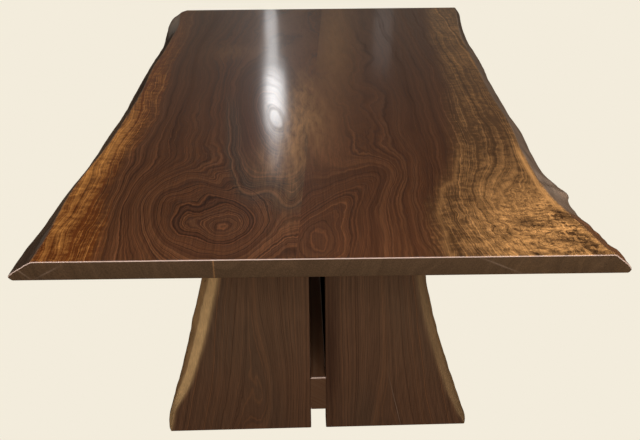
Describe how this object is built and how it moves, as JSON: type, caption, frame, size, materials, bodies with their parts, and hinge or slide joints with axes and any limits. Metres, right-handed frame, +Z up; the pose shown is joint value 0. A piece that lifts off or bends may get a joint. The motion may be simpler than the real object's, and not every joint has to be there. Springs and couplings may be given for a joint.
{
  "type": "dining table",
  "caption": "Live-edge slab dining table on two plank pedestals tied by a low stretcher.",
  "frame": {"origin": "on the floor, under the middle of the top", "axes": "+Z up; +Y along the table, from the near end to the far end; +X to the right, across the table"},
  "size_m": [1.1258, 1.8471, 0.737],
  "materials": {
    "walnut_top": "clear satin lacquer over figured walnut, golden sapwood along the live edges",
    "walnut_planks": "clear satin lacquer over dark walnut, lighter sapwood along the live edges",
    "walnut_frame": "clear satin lacquer over straight-grained walnut",
    "hardwood": "bare hardwood, glued in",
    "zinc_steel": "bright zinc plate",
    "brass": "turned brass"
  },
  "bodies": {
    "root": {"top_board_left": "walnut_top", "top_board_right": "walnut_top", "seam_splines": "hardwood", "near_plank_left": "walnut_planks", "near_plank_right": "walnut_planks", "near_cleat": "walnut_frame", "near_cleat_pegs": "hardwood", "near_stretcher_dowels": "hardwood", "near_cleat_bolts": "zinc_steel", "near_cleat_washers": "zinc_steel", "near_top_inserts": "brass", "far_plank_left": "walnut_planks", "far_plank_right": "walnut_planks", "far_cleat": "walnut_frame", "far_cleat_pegs": "hardwood", "far_stretcher_dowels": "hardwood", "far_cleat_bolts": "zinc_steel", "far_cleat_washers": "zinc_steel", "far_top_inserts": "brass", "stretcher": "walnut_frame"}
  },
  "joints": []
}
